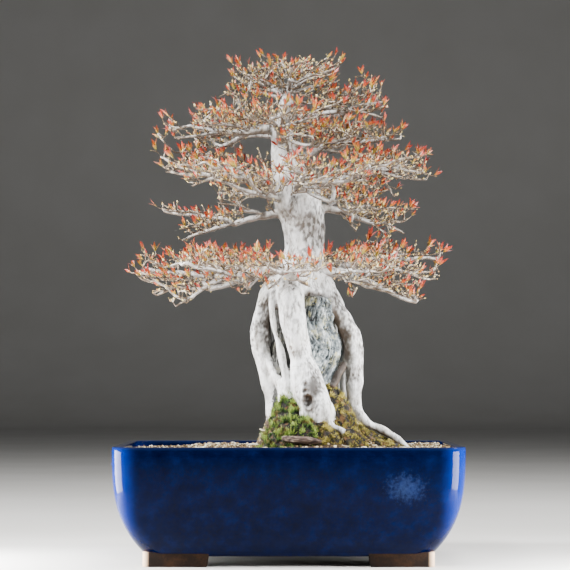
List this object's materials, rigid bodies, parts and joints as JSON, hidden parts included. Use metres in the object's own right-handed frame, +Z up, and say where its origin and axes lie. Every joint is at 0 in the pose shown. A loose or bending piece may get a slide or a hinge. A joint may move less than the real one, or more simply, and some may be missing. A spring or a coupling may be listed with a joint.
{
  "type": "root over rock bonsai",
  "caption": "Leafing bonsai whose pale roots grip an upright grey stone, planted in soil with moss in a blue glazed rectangular pot on unglazed feet.",
  "frame": {"origin": "on the surface that the feet stand on, under the middle of the pot", "axes": "+Z up along the tree, +X to the right along the pot's long side, the front of the tree and pot towards -Y"},
  "size_m": [0.4, 0.3, 0.6071],
  "materials": {
    "glazed_stoneware": "gloss",
    "mesh_plastic": "matte",
    "coarse_grit": "rough",
    "soil_crumb": "crumbly",
    "slate_rock": "rough",
    "pale_bark": "matte",
    "twig_and_shoot": "matte",
    "moss": "soft",
    "dead_bark": "matte"
  },
  "bodies": {
    "root": {"pot": "glazed_stoneware", "drain_mesh_left": "mesh_plastic", "drain_mesh_right": "mesh_plastic", "drainage_layer": "coarse_grit", "soil": "soil_crumb", "rock": "slate_rock", "trunk_and_roots": "pale_bark", "bark_piece": "dead_bark", "branch_front": "twig_and_shoot", "branch_front_left": "twig_and_shoot", "branch_high_back": "twig_and_shoot", "branch_high_front": "twig_and_shoot", "branch_high_left": "twig_and_shoot", "branch_high_right": "twig_and_shoot", "branch_low_back": "twig_and_shoot", "branch_low_front": "twig_and_shoot", "branch_low_left": "twig_and_shoot", "branch_low_right": "twig_and_shoot", "branch_mid_back": "twig_and_shoot", "branch_mid_left": "twig_and_shoot", "branch_mid_right": "twig_and_shoot", "branch_shoulder_right": "twig_and_shoot", "branch_upper_left": "twig_and_shoot", "branch_upper_right": "twig_and_shoot", "crown": "twig_and_shoot", "moss_back": "moss", "moss_cushion": "moss", "moss_front": "moss", "moss_left": "moss", "moss_right": "moss", "moss_slope": "moss"}
  },
  "joints": []
}
